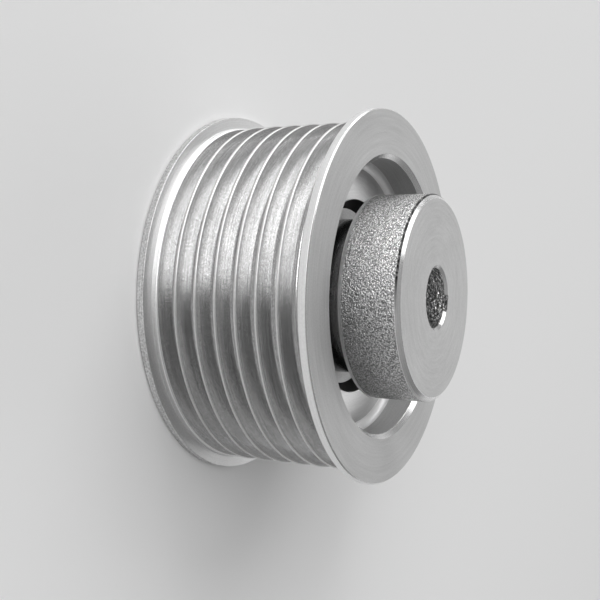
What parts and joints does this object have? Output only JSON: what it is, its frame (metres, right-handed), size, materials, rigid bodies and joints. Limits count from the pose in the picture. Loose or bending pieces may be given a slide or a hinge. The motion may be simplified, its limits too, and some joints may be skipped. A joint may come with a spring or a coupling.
{
  "type": "v-ribbed belt pulley",
  "caption": "Turned v-ribbed belt pulley with side flanges, a recessed web and a separate keyed hub that stands out in front.",
  "frame": {"origin": "on the shaft axis, in the plane of the rear rim face that the pulley stands on", "axes": "+Z along the shaft axis towards the hub face in front, +X towards the keyway"},
  "size_m": [0.063, 0.063, 0.0378],
  "materials": {
    "rim": "turned steel, satin flats with fine circular tool marks, bright chamfers",
    "hub": "forged steel with a pebbled skin round the collar, turned satin face and bore"
  },
  "bodies": {
    "root": {"pulley_rim": "rim", "hub": "hub"}
  },
  "joints": []
}
